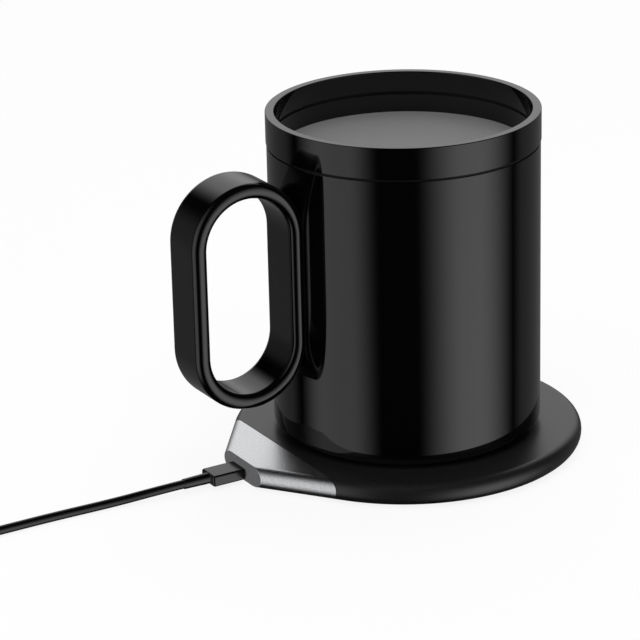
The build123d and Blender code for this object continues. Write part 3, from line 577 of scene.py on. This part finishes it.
def padForm(name):
    # a circle opened towards -X, run out along its two flanks, filled, raised and rounded
    deselectAll()
    bpy.ops.mesh.primitive_circle_add(
        vertices=pad["steps"], radius=pad["radius"] * mm, location=placed(0, 0, pad["bottom"])
    )
    piece = begin(name)
    pick(piece, "VERT", lambda v: v.co.x / mm < tangentPoint[0] + pad["tangentSlack"])
    bpy.ops.mesh.delete(type="VERT")
    for side in (-1, 1):
        # each open end runs to its tangent point and on along the flank
        pick(piece, "VERT", lambda v: len(v.link_edges) == 1 and v.co.y * side > 0)
        last = next(v.co / mm for v in bmesh.from_edit_mesh(piece.data).verts if v.select)
        for x, y in (tangentPoint, (-formEnd, formEndY)):
            step = placed(x - last[0], side * y - last[1], 0)
            bpy.ops.mesh.extrude_vertices_move(TRANSFORM_OT_translate={"value": step})
            last = (x, side * y)
    pick(piece, "VERT", lambda v: len(v.link_edges) == 1)
    bpy.ops.mesh.edge_face_add()
    bpy.ops.mesh.select_mode(type="EDGE")
    bpy.ops.mesh.select_all(action="SELECT")
    bpy.ops.mesh.edge_face_add()
    thickness = pad["top"] - pad["bottom"]
    bpy.ops.mesh.extrude_region_move(TRANSFORM_OT_translate={"value": placed(0, 0, thickness)})
    faceOutwards()
    for height, width in ((pad["top"], pad["topEdge"]), (pad["bottom"], pad["bottomEdge"])):
        pick(piece, "EDGE", lambda edge: all(near(v.co.z, height) for v in edge.verts))
        roundEdges(width, pad["edgeSteps"])
    return piece


def partAt(x, keepLow):
    # parts the open piece at a plane across X and closes it there
    bpy.ops.mesh.select_all(action="SELECT")
    bpy.ops.mesh.bisect(
        plane_co=placed(x, 0, 0), plane_no=(1, 0, 0), use_fill=True,
        clear_outer=keepLow, clear_inner=not keepLow, threshold=1e-7,
    )


def easeFaceEdge(piece, x, width):
    # small rounding where the flat face at x meets the sides
    pick(piece, "EDGE", lambda e: all(near(v.co.x, x) for v in e.verts) and len(e.link_faces) == 2)
    roundEdges(width, segments=2)


# radius and height of each hollow under the shell, cut from below the table
padShell = {"hollows": ((50.7, 1.5), (49.3, 6.0)), "cutFrom": -1, "steps": 192}


def addPadShell():
    shell = padForm("padShell")
    partAt(seamX, keepLow=False)
    easeFaceEdge(shell, seamX, pad["seamEdge"])
    for radius, height in padShell["hollows"]:
        cutAway(shell, upright(radius, padShell["cutFrom"], height, padShell["steps"]))
    finished(shell, "base", satinAbs, ["base_housing"], smoothAngle=40)


metalNose = {
    "port": (1.4, 3.0),
    "portEdge": 0.15,
    "mouth": (7.55, 2.55),
    "mouthReach": (-61, -57),
    "mouthEdge": 0.8,
    "pocket": (7.79, 2.79),
    "pocketEnd": -40,
    "portWall": 1.1,
}


def portBlock(name, startX, endX, size):
    # a cutter centred on the port, of this width and height
    portY, portZ = metalNose["port"]
    wide, tall = size
    low = (startX, portY - wide / 2, portZ - tall / 2)
    return blockAt(name, low, (endX, portY + wide / 2, portZ + tall / 2))


def addNose():
    nose = padForm("metalNose")
    faceX, noseSeam = -pad["portFace"], seamX - pad["seamGap"]
    partAt(noseSeam, keepLow=True)
    partAt(faceX, keepLow=False)
    easeFaceEdge(nose, faceX, metalNose["portEdge"])
    easeFaceEdge(nose, noseSeam, pad["seamEdge"])
    mouth = portBlock("mouth", *metalNose["mouthReach"], metalNose["mouth"])
    pick(mouth, "EDGE", lambda e: abs(e.verts[0].co.x - e.verts[1].co.x) > mm)
    roundEdges(metalNose["mouthEdge"], segments=5)
    cutAway(nose, mouth)
    wallX = faceX + metalNose["portWall"]
    cutAway(nose, portBlock("pocket", wallX, metalNose["pocketEnd"], metalNose["pocket"]))
    finished(nose, "base", blastedAluminium, ["corner_trim"], smoothAngle=40)


addPadShell()
addNose()
print("pad shell and metal nose made")


# mug: shell, rim band, liner, a dark seal between them that paints the seam's shade, drink and handle

mugSteps = 256
mugShell = {
    "radius": 41.8, "inner": 41.0, "wall": 0.8, "bottom": 10.4, "top": 98.5, "footHole": 38.7,
    "footEdge": 0.25, "seamEdge": 0.12,
}


def addMugShell():
    # a thin wall, rolled in under the foot
    outer, inner, hole = mugShell["radius"], mugShell["inner"], mugShell["footHole"]
    low, high = mugShell["bottom"], mugShell["top"]
    floor = low + mugShell["wall"]
    outline = [(hole, low), (outer, low), (outer, high), (inner, high), (inner, floor), (hole, floor)]
    shell = turned("mugShell", outline, mugSteps, closed=True)
    roundRing(shell, outer, low, mugShell["footEdge"])
    roundRing(shell, outer, high, mugShell["seamEdge"], segments=2)
    finished(shell, "mug", lacquer, ["mug_shell"])


rimBand = {
    "radius": 42.0, "bore": 39.25, "bottom": 99.1, "top": 108.9, "innerSeam": 102.4,
    "neck": (39.85, 40.9), "neckBottom": 94.1, "edge": 0.3, "seamEdge": 0.12,
}


def addRimBand():
    # a solid rim with a thin neck that reaches down between shell and liner
    outer, bore, neckIn, neckOut = rimBand["radius"], rimBand["bore"], *rimBand["neck"]
    low, high, seam, neckLow = rimBand["bottom"], rimBand["top"], rimBand["innerSeam"], rimBand["neckBottom"]
    band = turned("rimBand", [
        (bore, high), (outer, high), (outer, low), (neckOut, low),
        (neckOut, neckLow), (neckIn, neckLow), (neckIn, seam), (bore, seam),
    ], mugSteps, closed=True)
    roundRing(band, outer, high, rimBand["edge"])
    roundRing(band, bore, high, rimBand["edge"])
    roundRing(band, outer, low, rimBand["edge"], segments=3)
    roundRing(band, bore, seam, rimBand["seamEdge"], segments=2)
    finished(band, "mug", lacquer, ["rim_ring"])


liner = {"radius": 39.75, "middle": 0.5, "floor": 19.0, "round": 6.0, "roundSteps": 10, "seamGap": 0.9}
linerTop = rimBand["innerSeam"] - liner["seamGap"]


def addLiner():
    # a deep-drawn cup with a rounded floor
    outer, bore, middle, low = liner["radius"], rimBand["bore"], liner["middle"], liner["floor"]
    wall = outer - bore
    outline = [
        (middle, low), (outer, low), (outer, linerTop),
        (bore, linerTop), (bore, low + wall), (middle, low + wall),
    ]
    cup = turned("liner", outline, mugSteps, capped=True)
    roundRing(cup, outer, low, liner["round"], liner["roundSteps"])
    roundRing(cup, bore, low + wall, liner["round"] - wall, liner["roundSteps"])
    finished(cup, "mug", lacquer, ["mug_liner"])


# a near-black ring in the inner seam: a seal whose dark stands in for the seam's painted shade
seamShadeSeal = {"setBack": 0.35, "neckGap": 0.02}


def addSeamShadeSeal():
    # dark silicone in the seam between band and liner, set back from the wall, painting the seam's shade
    low, high = linerTop, rimBand["innerSeam"]
    inner, outer = rimBand["bore"] + seamShadeSeal["setBack"], rimBand["neck"][0] - seamShadeSeal["neckGap"]
    outline = [(inner, low), (outer, low), (outer, high), (inner, high)]
    finished(turned("seamShadeSeal", outline, mugSteps, closed=True), "mug", silicone)


drink = {
    "level": 95.5, "wallGap": 0.03, "middle": 1.0, "meniscus": 0.3, "meniscusWidth": 3.2, "meniscusSteps": 8,
    "sideBottom": 27.0, "floorRound": 7.0, "floor": 20.1, "steps": 192,
}


def addDrink():
    # the drink climbs the wall in a small meniscus
    level, rise, width = drink["level"], drink["meniscus"], drink["meniscusWidth"]
    edge, middle, floor = rimBand["bore"] - drink["wallGap"], drink["middle"], drink["floor"]
    outline = [(middle, level), (edge - width, level)]
    for i in range(1, drink["meniscusSteps"] + 1):
        share = i / drink["meniscusSteps"]
        outline.append((edge - width + width * share, level + rise * share ** 3))
    outline += [(edge, drink["sideBottom"]), (edge - drink["floorRound"], floor), (middle, floor)]
    body = turned("drink", outline, drink["steps"], capped=True)
    finished(body, "mug", drinkSurface, smoothAngle=50)


handle = {
    "outside": 77.7, "depth": 37.8, "height": 71.1, "band": 4.8, "width": 17.0, "topDrop": 11.7,
    "edge": 2.25, "edgeSteps": 8, "arcSteps": 64, "wallGap": 0.03,
    # a cutter as round as the mug's wall, taller than the handle
    "cutter": (-40, 160),
}
handleX = -(handle["outside"] - handle["depth"] / 2)
handleZ = rimBand["top"] - handle["topDrop"] - handle["height"] / 2


def stadium(radius):
    # half a circle and its straight, made above the middle and mirrored downwards
    half = (handle["height"] - handle["depth"]) / 2
    deselectAll()
    bpy.ops.mesh.primitive_circle_add(
        vertices=2 * handle["arcSteps"], radius=radius * mm, rotation=(math.pi / 2, 0, 0),
        location=placed(handleX, -handle["width"] / 2, handleZ),
    )
    ring = begin("handleLoop")
    pick(ring, "VERT", lambda v: v.co.z / mm < handleZ and not near(v.co.z, handleZ))
    bpy.ops.mesh.delete(type="VERT")
    pick(ring, "VERT", lambda v: True)
    bpy.ops.transform.translate(value=placed(0, 0, half))
    pick(ring, "VERT", lambda v: len(v.link_edges) == 1)
    bpy.ops.mesh.extrude_vertices_move(TRANSFORM_OT_translate={"value": placed(0, 0, -half)})
    bpy.ops.mesh.select_all(action="SELECT")
    bpy.ops.mesh.duplicate()
    bpy.ops.transform.resize(value=(1, 1, -1), center_override=placed(handleX, 0, handleZ))
    bpy.ops.mesh.select_all(action="SELECT")
    bpy.ops.mesh.remove_doubles(threshold=1e-6)
    bpy.ops.object.mode_set(mode="OBJECT")
    return ring


def addHandle():
    # two rings are bridged, thickened and rounded, and the leg is cut to the mug's wall
    rings = [stadium(handle["depth"] / 2), stadium(handle["depth"] / 2 - handle["band"])]
    loop = rings[0]
    deselectAll()
    for ring in rings:
        ring.select_set(True)
    bpy.context.view_layer.objects.active = loop
    bpy.ops.object.join()
    bpy.ops.object.mode_set(mode="EDIT")
    bpy.ops.mesh.select_mode(type="EDGE")
    bpy.ops.mesh.select_all(action="SELECT")
    bpy.ops.mesh.bridge_edge_loops()
    pick(loop, "FACE", lambda face: True)
    bpy.ops.mesh.extrude_region_move(TRANSFORM_OT_translate={"value": placed(0, handle["width"], 0)})
    faceOutwards()

    def longEdge(edge):
        sides = [face.normal.y for face in edge.link_faces]
        return len(sides) == 2 and abs(abs(sides[0]) - abs(sides[1])) > 0.5

    pick(loop, "EDGE", longEdge)
    roundEdges(handle["edge"], handle["edgeSteps"])
    cutAway(loop, upright(mugShell["radius"] + handle["wallGap"], *handle["cutter"], mugSteps))
    finished(loop, "mug", pianoPlastic, ["handle_loop"], smoothAngle=40)


addMugShell()
addRimBand()
addLiner()
addSeamShadeSeal()
addDrink()
addHandle()
print("mug made")


# plug at the pad, its boot, and the far plug

plug = {
    "axis": (1.4, 3.0),
    "body": ((-71.0, -2.6, 1.2), (-59.6, 5.4, 4.8)),
    "edge": 0.7,
    "tipSlot": (-62.6, -59.0),
    "tipHalf": (3.425, 0.925),  # half of the slot's width and height
    "boot": ((-71.0, 1.75), (-72.2, 1.75), (-79.3, 1.6)),
}
bootSteps = 48


def plugBlock(name, corners, width, segments):
    # a block with all its edges rounded
    block = blockAt(name, *corners)
    pick(block, "EDGE", lambda edge: True)
    roundEdges(width, segments)
    return block


def addPlugBody():
    body = plugBlock("plugBody", plug["body"], plug["edge"], segments=4)
    (y, z), (halfY, halfZ), (startX, endX) = plug["axis"], plug["tipHalf"], plug["tipSlot"]
    cutAway(body, blockAt("tipSlot", (startX, y - halfY, z - halfZ), (endX, y + halfY, z + halfZ)))
    return finished(body, "cable", plugPlastic, ["plug_body"])


def addPlugBoot():
    # built upwards from the cord's end, then laid down
    (x0, r0), (x1, r1), (x2, r2) = plug["boot"]
    boot = turned("plugBoot", [(r2, 0), (r1, x1 - x2), (r0, x0 - x2)], bootSteps, capped=True)
    layDown(boot, (x2, *plug["axis"]), Matrix.Rotation(math.pi / 2, 4, "Y"))
    return finished(boot, "cable", plugPlastic, ["plug_boot"])


farPlug = {
    "axis": (-193.4, 3.8),
    "body": ((-201.2, 48.3, 0.0), (-185.6, 68.3, 7.6)),
    "edge": 1.6,
    "tipSlot": (65.3, 70),
    "tipHalf": (6, 2.25),
    "boot": (39.3, 48.3),
    "bootRadii": (1.7, 2.4),
    "ribs": 6,
    "grooveDepth": 0.25,
    # shares of one rib's pitch: its end, then the groove's floor
    "ribEnd": 0.6,
    "groove": (0.62, 0.98),
}


def addFarBody():
    body = plugBlock("farPlugBody", farPlug["body"], farPlug["edge"], segments=6)
    (x, z), (halfX, halfZ), (startY, endY) = farPlug["axis"], farPlug["tipHalf"], farPlug["tipSlot"]
    cutAway(body, blockAt("farSlot", (x - halfX, startY, z - halfZ), (x + halfX, endY, z + halfZ)))
    return finished(body, "cable", plugPlastic, ["usb_body"])


def addFarBoot():
    # ribs that widen towards the plug, with shallow grooves between them, built upwards and laid down
    (x, z), (startY, endY), (thin, thick) = farPlug["axis"], farPlug["boot"], farPlug["bootRadii"]
    ribs, depth, grooveEnds = farPlug["ribs"], farPlug["grooveDepth"], farPlug["groove"]
    pitch = (endY - startY) / ribs
    outline = []
    for i in range(ribs):
        radius = thin + (thick - thin) * i / (ribs - 1)
        outline += [(radius, i * pitch), (radius, (i + farPlug["ribEnd"]) * pitch)]
        if i < ribs - 1:
            outline += [(radius - depth, (i + end) * pitch) for end in grooveEnds]
    outline.append((thick, endY - startY))
    boot = turned("farPlugBoot", outline, bootSteps, capped=True)
    layDown(boot, (x, startY, z), Matrix.Rotation(-math.pi / 2, 4, "X"))
    return finished(boot, "cable", plugPlastic, ["usb_boot"])


plugBody = addPlugBody()
plugBoot = addPlugBoot()
farBody = addFarBody()
farBoot = addFarBoot()


# studio: pale floor, soft lamps, and a surround of soft boxes that the camera does not see

studio = {
    "cameraSide": math.degrees(math.atan2(view["place"][1], view["place"][0])),
    # the floor is mostly plain white to the eye, and the rest is lit paint that keeps the shadow
    "floorWhite": 0.88,
    "floorPaint": "#f6f6f6",
    "floorDrop": 0.1,
    "floorMetres": 12,
    # in metres and watts
    "lamps": [
        {"place": (-0.3, -0.5, 1.3), "size": (1.2, 1.0), "power": 12.0},
        {"place": (0.35, 0.3, 1.4), "size": (1.4, 1.2), "power": 11.0},
    ],
    # bearing from the camera's side and height above the table, in degrees: start, full, fade, end
    "boxes": [
        {"bearing": (-103, -74, -48, -20), "height": (-58, -28, 5, 70), "strength": 0.95},
        {"bearing": (8, 52, 62, 106), "height": (-78, -26, -24, 45), "strength": 1.7},
        {"bearing": (100, 118, 400, 401), "height": (-60, -30, 4, 26), "strength": 0.15, "bothSides": True},
        {"bearing": (131, 159, 400, 401), "height": (-8, 20, 38, 62), "strength": 1.0, "bothSides": True},
    ],
}


def rayShare(tree, *kinds):
    # 1 for these kinds of ray and 0 for all others
    rays = addNode(tree, "ShaderNodeLightPath")
    share = rays.outputs[kinds[0]]
    for kind in kinds[1:]:
        either = {0: share, 1: rays.outputs[kind]}
        share = addNode(tree, "ShaderNodeMath", {"operation": "MAXIMUM"}, either).outputs[0]
    return share


def softBand(tree, source, start, full, fade, end):
    # 1 from full to fade, softened to 0 at start and end, all in degrees
    edges = []
    for low, high in ((start, full), (fade, end)):
        limits = {"interpolation_type": "SMOOTHSTEP", 1: math.radians(low), 2: math.radians(high)}
        edges.append(addNode(tree, "ShaderNodeMapRange", limits, {0: source}).outputs[0])
    rise, fall = edges
    return addNode(tree, "ShaderNodeMath", {"operation": "SUBTRACT"}, {0: rise, 1: fall}).outputs[0]


def addWorld():
    world = bpy.data.worlds.new("studio")
    bpy.context.scene.world = world
    world.use_nodes = True
    tree = world.node_tree
    tree.nodes.clear()
    direction = addNode(tree, "ShaderNodeTexCoord").outputs["Generated"]
    # turned so that the surround's first axis points at the camera's side
    turn = {"vector_type": "VECTOR", "Rotation": (0, 0, -math.radians(studio["cameraSide"]))}
    facing = addNode(tree, "ShaderNodeMapping", turn, {"Vector": direction})
    axes = addNode(tree, "ShaderNodeSeparateXYZ", {}, {0: facing.outputs[0]})
    around = {0: axes.outputs["Y"], 1: axes.outputs["X"]}
    bearing = addNode(tree, "ShaderNodeMath", {"operation": "ARCTAN2"}, around).outputs[0]
    eitherSide = addNode(tree, "ShaderNodeMath", {"operation": "ABSOLUTE"}, {0: bearing}).outputs[0]
    height = addNode(tree, "ShaderNodeMath", {"operation": "ARCSINE"}, {0: axes.outputs["Z"]}).outputs[0]
    glow = None
    for box in studio["boxes"]:
        across = softBand(tree, eitherSide if box.get("bothSides") else bearing, *box["bearing"])
        upwards = softBand(tree, height, *box["height"])
        shape = addNode(tree, "ShaderNodeMath", {"operation": "MULTIPLY"}, {0: across, 1: upwards}).outputs[0]
        dimmed = {"operation": "MULTIPLY", 1: box["strength"]}
        lit = addNode(tree, "ShaderNodeMath", dimmed, {0: shape}).outputs[0]
        if glow is not None:
            lit = addNode(tree, "ShaderNodeMath", {"operation": "MAXIMUM"}, {0: glow, 1: lit}).outputs[0]
        glow = lit
    seen = rayShare(tree, "Is Camera Ray", "Is Transmission Ray")
    level = addNode(tree, "ShaderNodeMix", {3: 1.0}, {0: seen, 2: glow}).outputs[0]
    background = addNode(tree, "ShaderNodeBackground", {"Color": (1, 1, 1, 1)}, {"Strength": level})
    addNode(tree, "ShaderNodeOutputWorld", {}, {"Surface": background.outputs[0]})


def addFloor():
    deselectAll()
    bpy.ops.mesh.primitive_plane_add(size=studio["floorMetres"], location=placed(0, 0, -studio["floorDrop"]))
    floor = bpy.context.active_object
    floor.name = "floor"
    bpy.ops.object.transform_apply(location=True)
    material = bpy.data.materials.new("paleFloor")
    material.use_nodes = True
    tree = material.node_tree
    tree.nodes.clear()
    seen = rayShare(tree, "Is Camera Ray", "Is Glossy Ray", "Is Transmission Ray")
    mostly = {"operation": "MULTIPLY", 1: studio["floorWhite"]}
    share = addNode(tree, "ShaderNodeMath", mostly, {0: seen}).outputs[0]
    paint = addNode(tree, "ShaderNodeBsdfDiffuse", {"Color": linear(studio["floorPaint"])})
    glow = addNode(tree, "ShaderNodeEmission", {"Color": (1, 1, 1, 1), "Strength": 1.0})
    both = addNode(tree, "ShaderNodeMixShader", {}, {0: share, 1: paint.outputs[0], 2: glow.outputs[0]})
    addNode(tree, "ShaderNodeOutputMaterial", {}, {"Surface": both.outputs[0]})
    floor.data.materials.append(material)
    floor.visible_glossy = False


def addLamps():
    for number, spot in enumerate(studio["lamps"]):
        lamp = bpy.data.lights.new(f"softLamp{number}", "AREA")
        lamp.energy = spot["power"]
        lamp.shape = "RECTANGLE"
        lamp.size, lamp.size_y = spot["size"]
        lit = bpy.data.objects.new(f"softLamp{number}", lamp)
        bpy.context.scene.collection.objects.link(lit)
        lit.location = spot["place"]
        lit.rotation_mode = "QUATERNION"
        lit.rotation_quaternion = Vector(spot["place"]).to_track_quat("Z", "Y")
        lit.visible_glossy = False


def clearReflections():
    # the cable stays out of the mug's mirror, so that the wall stays clean
    nodePieces = [nodes[name] for name in ("plug_tip", "usb_tip", "usb_tongue", "coil_tie")]
    for piece in [powerCord, plugBody, plugBoot, farBody, farBoot] + nodePieces:
        piece.visible_glossy = False


addWorld()
addFloor()
addLamps()
clearReflections()
print("studio set")
